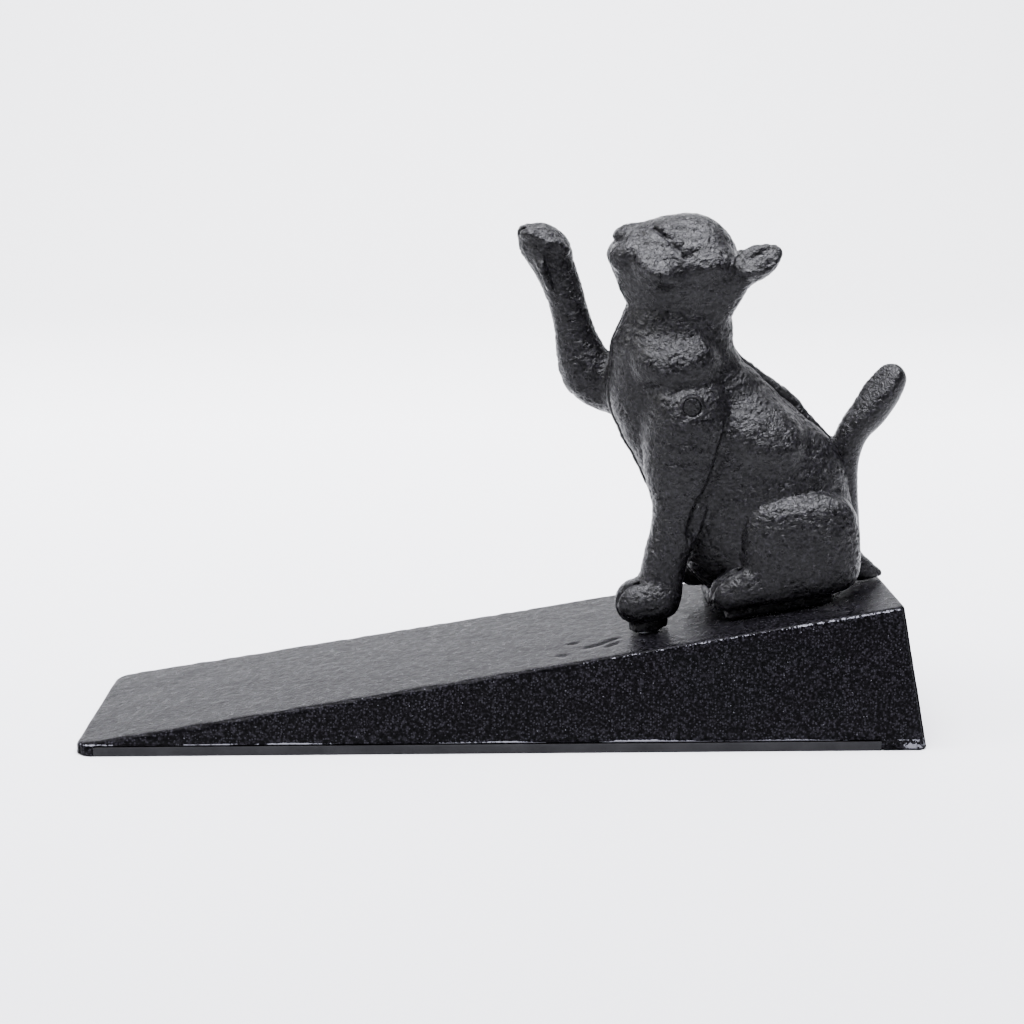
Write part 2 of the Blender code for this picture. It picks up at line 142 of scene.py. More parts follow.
def ball(centre, radii, turn=0.0, power=2.0):
    """An ellipsoid turned about Y by turn degrees. A power above 2 makes it boxy."""
    c, s = math.cos(math.radians(turn)), math.sin(math.radians(turn))
    reach = max(radii)

    def distance(x, y, z):
        dx, dy, dz = x - centre[0], y - centre[1], z - centre[2]
        ux, uy, uz = (dx * c + dz * s) / radii[0], dy / radii[1], (dz * c - dx * s) / radii[2]
        if power == 2:
            k = length(ux, uy, uz) + 1e-6
            steep = length(ux / radii[0], uy / radii[1], uz / radii[2]) + 1e-6
            return k * (k - 1) / steep
        total = abs(ux) ** power + abs(uy) ** power + abs(uz) ** power + 1e-9
        k = total ** (1 / power)
        steep = length(
            abs(ux) ** (power - 1) / radii[0],
            abs(uy) ** (power - 1) / radii[1],
            abs(uz) ** (power - 1) / radii[2],
        ) * total ** (1 / power - 1) + 1e-6
        return (k - 1) / steep

    return np.array(centre) - reach, np.array(centre) + reach, distance


def faced(shape, at, normal, soft):
    """The shape, planed nearly flat through the point at, square to normal."""
    low, high, inside = shape
    nx, ny, nz = Vector(normal).normalized()

    def distance(x, y, z):
        above = (x - at[0]) * nx + (y - at[1]) * ny + (z - at[2]) * nz
        return -soft_min(-inside(x, y, z), -above, soft)

    return low, high, distance


def disc(centre, radius, half):
    """A flat round plate with its axis along Y."""
    cx, cy, cz = centre

    def distance(x, y, z):
        return np.maximum(length(x - cx, z - cz) - radius, abs(y - cy) - half)

    reach = np.array([radius, half, radius])
    return np.array(centre) - reach, np.array(centre) + reach, distance


def soft_min(a, b, soft):
    """The smaller of two distances, rounded where they are within soft of each other."""
    if soft <= 0:
        return np.minimum(a, b)
    near = np.maximum(soft - abs(a - b), 0) / soft
    return np.minimum(a, b) - near * near * soft / 4


class Clay:
    """A distance field on a regular grid, negative inside."""

    def __init__(self, low, high, step):
        self.step = step
        self.axes = [np.arange(a, b + step, step, dtype=np.float32) for a, b in zip(low, high)]
        self.d = np.full([len(a) for a in self.axes], 9.0, np.float32)

    def window(self, low, high):
        """The part of the grid between two corners, and its coordinates."""
        spans = [np.searchsorted(axis, (a, b)) for axis, a, b in zip(self.axes, low, high)]
        cut = tuple(slice(a, max(a, b)) for a, b in spans)
        x, y, z = (axis[c] for axis, c in zip(self.axes, cut))
        return cut, (x[:, None, None], y[None, :, None], z[None, None, :])

    def add(self, shape, soft=0.0):
        low, high, distance = shape
        cut, at = self.window(np.array(low) - soft - 2, np.array(high) + soft + 2)
        if self.d[cut].size:
            self.d[cut] = soft_min(self.d[cut], distance(*at).astype(np.float32), soft)

    def carve(self, shape, soft=0.0):
        low, high, distance = shape
        cut, at = self.window(np.array(low) - soft - 2, np.array(high) + soft + 2)
        if self.d[cut].size:
            self.d[cut] = -soft_min(-self.d[cut], distance(*at).astype(np.float32), soft)

    def cut(self, plane, soft=0.0):
        """Keeps what is where plane(x, y, z) is negative."""
        _, at = self.window([-1e9] * 3, [1e9] * 3)
        far = np.broadcast_to(plane(*at), self.d.shape).astype(np.float32)
        self.d = -soft_min(-self.d, -far, soft)

    def skin(self):
        """Surface nets: a vertex in each cell the surface crosses, a quad for each crossed edge."""
        d, inside = self.d, self.d < 0
        shape = tuple(n - 1 for n in d.shape)
        total, count = np.zeros((*shape, 3), np.float32), np.zeros(shape, np.float32)
        crossings = []
        for axis in range(3):
            first = tuple(slice(0, -1) if i == axis else slice(None) for i in range(3))
            second = tuple(slice(1, None) if i == axis else slice(None) for i in range(3))
            crossed = inside[first] != inside[second]
            crossings.append(crossed)
            t = np.where(crossed, d[first] / np.where(crossed, d[first] - d[second], 1), 0)
            others = [i for i in range(3) if i != axis]
            for p in (0, 1):
                for q in (0, 1):
                    pick = [slice(None)] * 3
                    pick[others[0]] = slice(p, p + shape[others[0]])
                    pick[others[1]] = slice(q, q + shape[others[1]])
                    hit = crossed[tuple(pick)]
                    count += hit
                    total[..., axis] += np.where(hit, t[tuple(pick)], 0)
                    total[..., others[0]] += hit * p
                    total[..., others[1]] += hit * q
        cells = np.argwhere(count > 0)
        at = tuple(cells.T)
        local = total[at] / count[at][:, None]
        corner = np.stack([axis[i] for axis, i in zip(self.axes, at)], axis=1)
        points = corner + local * self.step
        index = np.full(shape, -1, np.int64)
        index[at] = np.arange(len(cells))
        quads = []
        for axis in range(3):
            u, v = [i for i in range(3) if i != axis]
            i = np.argwhere(crossings[axis])
            i = i[(i[:, u] > 0) & (i[:, v] > 0) & (i[:, u] < shape[u]) & (i[:, v] < shape[v])]
            step_u, step_v = np.eye(3, dtype=int)[u], np.eye(3, dtype=int)[v]
            ring = [i, i - step_u, i - step_u - step_v, i - step_v]
            quad = np.stack([index[tuple(r.T)] for r in ring], axis=1)
            flip = inside[tuple(i.T)] ^ (axis == 1)
            quads.append(np.where(flip[:, None], quad, quad[:, ::-1]))
        return points.astype(float), np.vstack(quads)

    def sample(self, p):
        """The field at points, by trilinear interpolation."""
        g = [(p[:, i] - self.axes[i][0]) / self.step for i in range(3)]
        base = [np.clip(np.floor(v).astype(int), 0, n - 2) for v, n in zip(g, self.d.shape)]
        f = [np.clip(v - b, 0, 1) for v, b in zip(g, base)]
        out = 0
        for a in (0, 1):
            for b in (0, 1):
                for c in (0, 1):
                    wx, wy, wz = (v if upper else 1 - v for v, upper in zip(f, (a, b, c)))
                    share = wx * wy * wz
                    out = out + share * self.d[base[0] + a, base[1] + b, base[2] + c]
        return out

    def slope(self, p):
        """Unit gradient of the field at points."""
        h = self.step * 0.75
        rows = [self.sample(p + h * axis) - self.sample(p - h * axis) for axis in np.eye(3)]
        g = np.stack(rows, axis=1)
        return g / (np.linalg.norm(g, axis=1, keepdims=True) + 1e-9)


# The cat. In these rows y counts outwards from the seam on either side.
TORSO = (0.64, ((33.6, 0, 73.0, 11.5), (34.4, 0, 67.5, 13.2), (40.0, 0, 60.2, 14.8),
                (46.0, 0, 52.2, 16.8), (51.2, 0, 46.0, 18.2), (52.4, 0, 42.0, 18.0)))
NECK = (0.74, ((35.0, 0, 87.4, 11.4), (35.2, 0, 82.5, 9.9), (34.4, 0, 79.2, 11.0),
               (33.8, 0, 75.5, 11.9)))
FORELEG = (0.86, ((36.2, 6.2, 61.0, 8.8), (35.2, 7.0, 54.0, 7.6), (35.0, 7.8, 47.0, 5.7),
                  (33.9, 8.2, 41.0, 4.7), (32.3, 8.4, 36.0, 4.3), (31.2, 8.4, 30.0, 4.4)))
RAISED_ARM = (0.80, ((28.5, 6.0, 67.5, 7.8), (22.2, 8.0, 67.8, 6.1), (18.0, 8.5, 69.7, 5.7),
                     (16.1, 8.6, 73.8, 4.8), (14.8, 8.6, 78.3, 4.0), (13.7, 8.6, 82.5, 3.6),
                     (12.5, 8.6, 86.5, 3.7), (10.9, 8.6, 90.5, 4.0), (9.5, 8.6, 93.4, 4.4),
                     (7.7, 8.6, 95.4, 4.0)))
TAIL = (0.88, ((77.2, 1.2, 69.0, 3.2), (75.9, 1.2, 66.9, 3.7), (73.4, 1.2, 62.8, 3.6),
               (70.3, 1.2, 58.8, 3.2), (68.6, 1.2, 53.5, 3.1), (68.6, 1.2, 47.0, 3.0),
               (69.2, 1.2, 40.0, 3.0), (69.6, 1.2, 34.0, 3.0)))
TAIL_ROOT = (0.88, ((69.6, 1.2, 32.0, 3.2), (72.8, 1.2, 29.8, 3.0), (75.6, 1.2, 28.6, 2.0)))


def on_skin(clay, rows, out):
    """Beads from (x, z, radius) rows, that far out from the clay's own skin."""
    ys = np.linspace(15, 0, 301)
    beads = []
    for x, z, r in rows:
        inside = clay.sample(np.stack([np.full(301, x), ys, np.full(301, z)], axis=1)) < 0
        beads.append((x, ys[np.argmax(inside)] + out, z, r))
    return tuple(beads)


def head(clay, ear_drop):
    clay.add(limb(1.02, ((36.4, 0, 92.4, 9.4), (33.4, 0, 92.2, 9.2))), 3.0)
    clay.add(limb(1.0, ((31.8, 0, 90.6, 7.6), (29.0, 0, 92.0, 6.8))), 2.5)
    clay.add(limb(0.95, ((30.0, 0, 95.8, 4.1), (25.8, 0, 95.9, 4.0))), 1.5)  # bridge of the nose
    clay.add(ball((25.4, 3.4, 94.0), (4.6, 3.5, 3.4), 12), 1.4)  # whisker pad
    clay.add(ball((25.6, 0.0, 91.6), (4.3, 3.6, 3.4), -25), 1.2)  # chin
    clay.add(ball((29.9, 6.3, 91.4), (5.4, 5.6, 3.1), -34), 1.2)  # jowl
    clay.add(ball((39.0, 5.6, 92.4), (6.0, 4.6, 3.6), 4), 1.6)  # back of the cheek
    flat_face = lambda x, y, z: (abs(y) - 7.8) * 0.80 + (z - 96.0) * 0.60 - (x - 33.0) * 0.02
    clay.cut(flat_face, 1.2)
    clay.add(ball((24.3, 0.0, 97.4), (2.6, 2.2, 1.7), 8), 1.6)  # nose
    eye(clay)
    mouth = on_skin(clay, ((21.6, 93.0, 0.3), (23.2, 92.5, 0.4), (25.6, 91.6, 0.3)), 0.15)
    clay.carve(limb(1.0, mouth), 0.5)
    nostril = on_skin(clay, ((21.5, 96.6, 0.3), (22.9, 97.0, 0.35)), 0.15)
    clay.carve(limb(1.0, nostril), 0.4)
    ear(clay, ear_drop)


def eye(clay):
    """A closed lid: a groove down the face with two pits in it, and small lumps above it."""
    lid = on_skin(clay, ((29.2, 99.0, 0.35), (30.9, 97.9, 0.5), (32.4, 96.2, 0.5), (34.0, 94.7, 0.55),
                         (35.3, 93.9, 0.5), (37.4, 95.4, 0.3)), 0.1)
    clay.carve(limb(1.0, lid), 0.3)
    for x, y, z, r in on_skin(clay, ((29.2, 99.0, 0.55), (31.0, 97.8, 0.6), (34.8, 94.1, 0.5)), 0.0):
        clay.carve(ball((x, y, z), (r, r, r * 0.7), -35), 0.25)
    lumps = ((30.6, 99.0, 0.7), (32.3, 97.7, 0.85), (33.9, 96.4, 0.9), (31.4, 96.4, 0.6),
             (35.6, 95.4, 0.8), (28.0, 98.2, 0.6), (33.2, 99.2, 0.7))
    for x, y, z, r in on_skin(clay, lumps, -0.35):
        clay.add(ball((x, y, z), (r, 0.65, r * 0.8), -40), 0.5)


def ear(clay, drop):
    """A leaf that opens outwards and up, with a rolled rim."""
    z = 93.1 - drop
    leaf = ball((48.4, 9.0, z), (4.7, 3.6, 3.1), 24)
    clay.add(faced(leaf, (48.4, 10.6, z), (-0.12, 0.80, 0.58), 0.3), 1.0)
    clay.add(limb(1.0, ((49.0, 8.4, z + 0.7, 2.2), (51.8, 9.0, z + 1.8, 1.2))), 0.8)
    root = ((48.6, 8.6, z - 0.5, 2.4), (45.0, 6.6, 89.9, 3.0), (41.6, 3.5, 85.0, 4.0))
    clay.add(limb(0.9, root), 1.6)
    cup = ((45.0, 12.1, z - 0.4, 1.0), (47.8, 11.2, z + 1.5, 1.5), (50.8, 10.2, z + 2.8, 1.0))
    clay.carve(limb(1.0, cup), 0.5)


def trunk(clay, fuller):
    flat, rows = TORSO
    clay.add(limb(flat, [(x, y, z, r + fuller) for x, y, z, r in rows]))
    clay.add(limb(*NECK), 2.5)
    shoulder = ball((33.6, 5.6, 73.8), (8.5, 6.3, 6.5), -4, power=2.2)
    clay.add(faced(shoulder, (34.4, 9.6, 77.5), (-0.10, 0.77, 0.63), 2.6), 1.0)
    arm = ball((36.0, 6.9, 65.0), (7.6, 6.2, 6.8), 10)
    clay.add(faced(arm, (36.0, 11.5, 68.8), (-0.05, 0.82, 0.57), 2.4), 1.4)
    ribs = ball((50.6, 5.6, 58.6), (9.6, 6.8, 7.4), -42, power=2.2)
    clay.add(faced(ribs, (51.0, 10.5, 61.9), (0.14, 0.80, 0.58), 2.8), 1.4)


def haunch(clay):
    clay.add(ball((58.4, 7.2, 37.6), (12.0, 7.7, 11.0), 4, power=3.0), 0.4)
    clay.add(ball((61.8, 6.0, 31.6), (8.8, 7.4, 6.0), 10), 1.6)


def hind_foot(clay, toe, y, lift):
    clay.add(limb(0.95, ((54.5, y - 0.4, 30.2 + lift, 5.3), (49.0, y, 29.9 + lift, 5.0),
                         (toe + 4.2, y, 28.0 + lift, 4.2))), 0.5)
    for side in (-1.7, 1.2):
        between_toes = (
            (toe + 6.8, y + side + 0.5, 33.6 + lift, 0.3), (toe + 2.9, y + side, 32.0 + lift, 0.55),
            (toe - 0.1, y + side, 28.0 + lift, 0.6), (toe + 0.6, y + side, 24.4, 0.4),
        )
        clay.carve(limb(1.0, between_toes), 0.5)


def front_paw(clay):
    clay.add(limb(1.02, ((30.4, 8.6, 27.2, 4.8), (26.9, 8.6, 26.5, 4.6))), 1.2)
    for side in (-2.0, 1.9):
        between_toes = ((27.6, 8.4 + side, 30.6, 0.3), (24.4, 8.4 + side, 29.6, 0.4),
                        (22.4, 8.4 + side * 0.9, 26.4, 0.45), (23.0, 8.4 + side * 0.9, 23.6, 0.4))
        clay.carve(limb(1.0, between_toes), 0.5)


def raised_paw(clay):
    """The palm is turned inwards, under a thick upper rim and beside a thinner front one."""
    clay.add(ball((9.3, 8.6, 94.9), (4.9, 3.9, 3.7), -28), 1.0)
    clay.add(ball((5.2, 8.2, 97.6), (1.8, 2.4, 1.6), 20), 0.8)
    upper = limb(1.0, ((4.7, 5.9, 97.3, 0.9), (7.0, 5.3, 97.4, 1.3), (9.8, 5.2, 96.4, 1.3),
                       (12.8, 5.7, 94.2, 1.0)))
    clay.add(faced(upper, (8.5, 4.6, 97.1), (0.20, -0.75, 0.63), 0.3), 0.5)
    clay.carve(ball((9.4, 3.9, 93.6), (2.6, 1.3, 1.9), -30), 0.6)
    front = limb(1.0, ((5.6, 5.6, 96.2, 0.8), (6.9, 5.3, 93.5, 1.0), (8.4, 5.2, 90.1, 1.0),
                       (9.7, 5.4, 87.0, 0.8)))
    clay.add(faced(front, (7.6, 4.8, 91.8), (-0.60, -0.60, 0.52), 0.3), 0.5)
    beside_rim = ((4.6, 5.6, 96.0, 0.3), (5.9, 5.3, 92.9, 0.4), (7.6, 5.3, 89.3, 0.4), (8.8, 5.5, 86.6, 0.3))
    clay.carve(limb(1.0, beside_rim), 0.3)
    clay.add(ball((9.2, 4.6, 95.4), (0.9, 0.8, 0.8)), 0.3)  # a toe pad
    for side in (-1.7, 1.7):
        clay.carve(limb(1.0, ((10.4, 8.6 + side, 99.8, 0.3), (6.4, 8.6 + side, 99.6, 0.45),
                              (3.8, 8.6 + side, 97.0, 0.4))), 0.5)


def plinth(clay, start):
    """The low base, set well back, that the haunch sits on."""
    end, reach = PLINTH

    def distance(x, y, z):
        along = abs(x - (start + end) / 2) - (end - start) / 2
        across = np.maximum(along, np.maximum(GAP / 2 - y, y - reach))
        return np.maximum(across, abs(z - ramp_z(x) - 1.5) - 3.0)

    clay.add((np.array([start, 0.0, 20.0]), np.array([end, reach, 34.0]), distance), 0.5)


def underside(clay, screw, base, stop=200.0):
    """Cuts the cat off above the ramp, but for its foot and what lies behind stop."""
    def above(lift):
        return lambda x, y, z: (ramp_z(x) + lift - z) / math.hypot(1, SLOPE)

    clay.cut(lambda x, y, z: above(SIT_GAP)(x, y, z) - np.clip((x - stop) * 3, 0, SIT_GAP - GAP), 0.9)
    x, y = screw
    plinth(clay, base)
    if x < base:
        clay.add(limb(1.0, ((x, y, ramp_z(x) - FOOT, FOOT), (x, y, ramp_z(x) + 1.5, FOOT))), 0.6)
    clay.cut(above(GAP), 0.2)
    clay.carve(limb(1.0, ((x, y, 5.0, 2.15), (x, y, ramp_z(x) + 5.8, 2.15))))


def seam_groove(clay, soft):
    """Cuts a half off just short of the seam."""
    clay.cut(lambda x, y, z: GAP / 2 - y + 0 * x + 0 * z, soft)


def left_half():
    """The half that faces the camera, as its own mirror image: cat_half turns it over."""
    clay = Clay((18, -1.2, 20), (73, 15.4, 103), CAT_STEP)
    trunk(clay, 0.0)
    head(clay, 0.0)
    haunch(clay)
    clay.add(limb(*FORELEG), 0.8)
    crease = ((43.2, 63.0, 0.4), (42.0, 56.0, 0.9), (40.4, 50.0, 1.2), (38.3, 45.5, 1.5), (37.2, 41.5, 1.5))
    clay.carve(limb(1.0, on_skin(clay, crease, 0.2)), 0.9)  # behind the foreleg
    front_paw(clay)
    hind_foot(clay, 40.9, 9.4, 0.0)
    underside(clay, FRONT_SCREW, LEFT_PLINTH)
    tail_room = limb(TAIL[0], [(x, -y, z, r + 0.5) for x, y, z, r in TAIL[1]])
    clay.carve(tail_room, 0.3)
    root_room = limb(TAIL_ROOT[0], [(x, -y, z, r + 0.5) for x, y, z, r in TAIL_ROOT[1]])
    clay.carve(root_room, 0.3)
    seam_groove(clay, 0.9)
    rivet_seat(clay)
    return clay


def right_half():
    """The half that has the raised arm and the tail."""
    clay = Clay((1.5, -3.4, 20), (83, 15.4, 103), CAT_STEP)
    trunk(clay, 0.5)
    back = ((46.0, 2.0, 67.0, 6.0), (54.0, 2.0, 60.0, 7.2), (61.0, 2.0, 52.0, 4.6))
    clay.add(limb(0.5, back), 1.5)
    head(clay, 2.0)
    haunch(clay)
    clay.add(limb(*RAISED_ARM), 1.6)
    raised_paw(clay)
    hind_foot(clay, 35.8, 9.6, 1.2)
    seam_groove(clay, 0.9)
    clay.add(faced(limb(*TAIL), (71.7, -0.7, 64.4), (-0.55, -0.66, 0.50), 0.8), 1.2)
    clay.add(ball((78.4, 1.2, 71.2), (1.0, 1.0, 0.7), -35), 0.4)  # stub of the casting's sprue
    clay.add(limb(*TAIL_ROOT), 1.2)
    underside(clay, REAR_SCREW, RIGHT_PLINTH, TAIL_FOOT)
    rivet_seat(clay)
    return clay


def rivet_seat(clay):
    """A hole for the rivet, and the ring of paint that has gathered round its head."""
    x, z, half = RIVET

    def ring(px, py, pz):
        return length(length(px - x, pz - z) - RIVET_HEAD - 0.3, py - half + 0.36) - 0.38

    reach = np.array([RIVET_HEAD + 1, 1, RIVET_HEAD + 1])
    clay.add(limb(1.0, ((x, 8.0, z, 2.9), (x, half - 2.95, z, 2.9))), 1.0)
    clay.add((np.array([x, half, z]) - reach, np.array([x, half, z]) + reach, ring), 0.5)
    clay.carve(limb(1.0, ((x, -5.0, z, 1.8), (x, half, z, 1.8)), 3.0))
    clay.carve(disc((x, half, z), RIVET_HEAD + 0.03, 1.0), 0.05)


def mesh_object(name, points, faces):
    mesh = bpy.data.meshes.new(name)
    mesh.vertices.add(len(points))
    mesh.vertices.foreach_set("co", (points * MM).astype(np.float32).ravel())
    faces = np.asarray(faces)
    mesh.loops.add(faces.size)
    mesh.loops.foreach_set("vertex_index", faces.astype(np.int32).ravel())
    mesh.polygons.add(len(faces))
    mesh.polygons.foreach_set("loop_start", np.arange(0, faces.size, faces.shape[1], dtype=np.int32))
    mesh.update(calc_edges=True)
    mesh.validate()
    mesh.shade_smooth()
    obj = bpy.data.objects.new(name, mesh)
    bpy.context.scene.collection.objects.link(obj)
    return obj


def fields_of_noise(points, pitch, shift=0.0):
    """Smooth noise at points, with features about pitch mm across."""
    k = 1.0 / pitch
    return np.array([noise.noise(Vector((x * k + shift, y * k, z * k))) for x, y, z in points])


def wrinkles(points):
    """The skin of a thick enamel: small winding ridges, in mm."""
    warp = np.stack([fields_of_noise(points, 3.6, 11.0 * n) for n in range(3)], axis=1)
    moved = points + 1.5 * warp
    fine = fields_of_noise(moved * np.array([1.0, 1.0, 1.35]), 1.15, 40.0)
    ridge = 1 - np.abs(fine) * 2.2
    lumps, swells = fields_of_noise(points, 3.0, 70.0), fields_of_noise(points, 9.0, 90.0)
    return 0.17 * ridge + 0.08 * lumps + 0.14 * swells - 0.06


def cat_half(name, clay, mirror):
    """Skins the clay, settles the points on its surface and wrinkles them, but for the seam."""
    points, quads = clay.skin()
    for _ in range(2):
        points = points - clay.sample(points)[:, None] * clay.slope(points) * 0.9
    normals = clay.slope(points)
    outward = np.clip((points[:, 1] - GAP / 2 - 0.35) / 0.8, 0, 1)
    bumps = wrinkles(points if not mirror else points * np.array([1, -1, 1]))
    points = points + normals * (bumps * outward)[:, None]
    if mirror:
        points = points * np.array([1, -1, 1])
        quads = quads[:, ::-1]
    return mesh_object(name, points, quads)


# Wedge, sole and rivet


def steps(length_mm, pitch, edge, fine=4):
    """Rows across a length, closer together within edge of both ends."""
    ends = edge * (1 - np.cos(np.linspace(0, math.pi / 2, fine + 1)))
    middle = np.linspace(edge, length_mm - edge, max(2, round((length_mm - 2 * edge) / pitch)) + 1)
    return np.concatenate([ends[:-1], middle, (length_mm - ends[::-1])[1:]])


def lattice(xs, ys, zs):
    """The surface of a box of rows: its points and quads, each facing outwards."""
    counts = [len(xs), len(ys), len(zs)]
    index, places, quads = {}, [], []

    def at(*key):
        if key not in index:
            index[key] = len(places)
            places.append((xs[key[0]], ys[key[1]], zs[key[2]]))
        return index[key]

    for axis in range(3):
        u, v = (axis + 1) % 3, (axis + 2) % 3
        for end in (0, counts[axis] - 1):
            for i in range(counts[u] - 1):
                for j in range(counts[v] - 1):
                    ring = []
                    for a, b in ((i, j), (i + 1, j), (i + 1, j + 1), (i, j + 1)):
                        key = [0, 0, 0]
                        key[axis], key[u], key[v] = end, a, b
                        ring.append(at(*key))
                    quads.append(ring if end else ring[::-1])
    return np.array(places, float), np.array(quads)


def soften(p, half, height, top, low):
    """Rounds the edges of a box of points: top is the radius above, low the one below."""
    q = p.copy()
    inner = np.stack([
        np.clip(q[:, 0], -half[0] + top, half[0] - top),
        np.clip(q[:, 1], -half[1] + top, half[1] - top),
        np.clip(q[:, 2], low, height - top),
    ], axis=1)
    v = q - inner
    radius = np.where(q[:, 2] > height / 2, top, np.where(q[:, 2] < low, low, top))
    far = np.linalg.norm(v, axis=1)
    v /= np.maximum(far, 1e-9)[:, None]
    return np.where(far[:, None] > 1e-9, inner + v * radius[:, None], q)


def round_corner(p, x_end, y_end, radius):
    """Turns the square corner in plan at (x_end, both sides) into a round one."""
    vx = (p[:, 0] - (x_end - math.copysign(radius, x_end))) * math.copysign(1, x_end)
    vy = abs(p[:, 1]) - (y_end - radius)
    hit = (vx > 0) & (vy > 0)
    pull = np.maximum(vx, vy) / np.maximum(np.hypot(vx, vy), 1e-9)
    vx, vy = np.where(hit, vx * pull, vx), np.where(hit, vy * pull, vy)
    p[:, 0] = np.where(hit, x_end + math.copysign(1, x_end) * (vx - radius), p[:, 0])
    p[:, 1] = np.where(hit, np.copysign(y_end - radius + vy, p[:, 1]), p[:, 1])


def wedge_points(pitch):
    """A rounded box of points, bent into the drafted wedge with its recess for the sole."""
    low, top = 0.3, 0.75
    start, end = SOLE[0] - GAP, SOLE[1] + GAP
    rise = SOLE[2] + GAP
    xs = steps(LENGTH, pitch, top) - LENGTH / 2
    xs = np.unique(np.concatenate([xs, [start - 0.02, start + 0.02, end - 0.02, end + 0.02]]))
    ys = steps(WIDTH, pitch, top) - WIDTH / 2
    zs = steps(HIGH_END, pitch, top)
    p, quads = lattice(xs, ys, zs)
    p = soften(p, (LENGTH / 2, WIDTH / 2), HIGH_END, top, low)
    round_corner(p, -LENGTH / 2, WIDTH / 2, 3.5)
    round_corner(p, LENGTH / 2, WIDTH / 2, 1.5)
    x, y, z = p.T
    bottom = np.where((x > start) & (x < end), rise, 0.0)
    roof = TIP + SLOPE * (x + LENGTH / 2) * (1 - REAR_SLOPE / LENGTH)
    share = np.clip((z - low) / (HIGH_END - top - low), 0, 1)
    height = bottom + np.minimum(z, low) + share * (roof - top - low - bottom)
    height = height + np.maximum(z - HIGH_END + top, 0)
    lean = REAR_SLOPE * height / HIGH_END * (x / LENGTH + 0.5)
    draw_in = np.sign(y) * DRAFT * height * np.minimum(abs(y) / 20, 1)
    return np.stack([x - lean, y - draw_in, height], axis=1), quads


def vertex_normals(mesh):
    normals = np.zeros(len(mesh.vertices) * 3, np.float32)
    mesh.vertex_normals.foreach_get("vector", normals)
    return normals.reshape(-1, 3)


def paint_attribute(mesh, name, values):
    made = mesh.attributes.new(name, "FLOAT", "POINT")
    made.data.foreach_set("value", np.asarray(values, np.float32))


def wedge():
    """The casting with its relief, rubbed near edge with a painted highlight, ragged lower edge and cracked
    paint.
    """
    points, quads = wedge_points(WEDGE_STEP)
    obj = mesh_object("wedge_skin", points, quads)
    normals = vertex_normals(obj.data)
    x, y, z = points.T
    roof = ramp_z(x)
    below = roof - z
    side = np.clip((abs(y) - (WIDTH / 2 - DRAFT * z) + 1.0), 0, 1)
    on_side = abs(normals[:, 1])
    edge = np.clip(1.15 - below / 1.1, 0, 1) * side
    foot = np.clip(1 - (z - 1.4) / 1.8, 0, 1) * on_side * (x > SOLE[0])
    grain = fields_of_noise(points, 1.5, 5.0)
    coarse = fields_of_noise(points, 9.0, 25.0)
    rough = fields_of_noise(points, 2.3, 45.0)
    keep = np.clip((z - 0.1) / 0.4, 0, 1) * np.where(normals[:, 2] < -0.5, 0, 1)
    push = 0.04 * grain + 0.06 * coarse - 0.1
    push = push - edge * np.clip(0.15 + 0.5 * rough, 0, 0.4) * (x < 6)
    push = push - foot * np.clip(0.1 + 0.45 * rough, 0, 0.5)
    push = push - paint_cracks(points) * 0.35 * (normals[:, 2] > 0.8)
    lumps = points + normals * (push * keep)[:, None]
    lumps[:, 1] = np.clip(lumps[:, 1], -WIDTH / 2, WIDTH / 2)
    obj.data.vertices.foreach_set("co", (lumps * MM).astype(np.float32).ravel())
    obj.data.update()
    wear_and_highlight_masks(obj.data, points, on_side, edge, coarse, rough)
    hollow_out(obj)
    return obj


def wear_and_highlight_masks(mesh, points, on_side, edge, coarse, rough):
    """Where the paint is rubbed, dusty or scuffed, and where the top edge gets a painted highlight, as
    attributes for the material.
    """
    x, _, z = points.T
    paint_attribute(mesh, "side", on_side)
    # painted highlight: the rounded top edge is lightened where it would catch the top light, together with
    # rubbed paint
    paint_attribute(mesh, "rubbed_and_lit_edge", edge * np.clip((x - 3) / 9, 0, 1) * on_side.clip(0.4, 1))
    lip = np.clip(1.25 - abs(z - DUST_LINE - 0.3 * coarse) / 0.42, 0, 1) * on_side
    broken = np.clip(0.55 + 1.1 * fields_of_noise(points, 13.0, 65.0), 0.25, 0.9)
    paint_attribute(mesh, "lip", lip * broken)
    corner = np.clip((x - 73.5) / 5, 0, 1) * np.clip(1.2 - z / 4.0, 0, 1)
    scuffs = np.clip(1 - np.hypot((x - 12.0) / 9.0, (z - 12.5) / 2.6), 0, 1) * np.clip(rough * 3, 0, 1)
    paint_attribute(mesh, "dusty", np.maximum(corner * 0.62, scuffs * 0.5) * on_side)


def paint_cracks(p):
    """How near each point is to a crack in the paint, 0 to 1."""
    best = np.full(len(p), 9.0)
    for line in CRACKS:
        for (ax, ay), (bx, by) in zip(line, line[1:]):
            along = (p[:, 0] - ax) * (bx - ax) + (p[:, 1] - ay) * (by - ay)
            t = np.clip(along / ((bx - ax) ** 2 + (by - ay) ** 2), 0, 1)
            best = np.minimum(best, np.hypot(p[:, 0] - ax - t * (bx - ax), p[:, 1] - ay - t * (by - ay)))
    return np.clip(1.3 - best / 0.5, 0, 1)


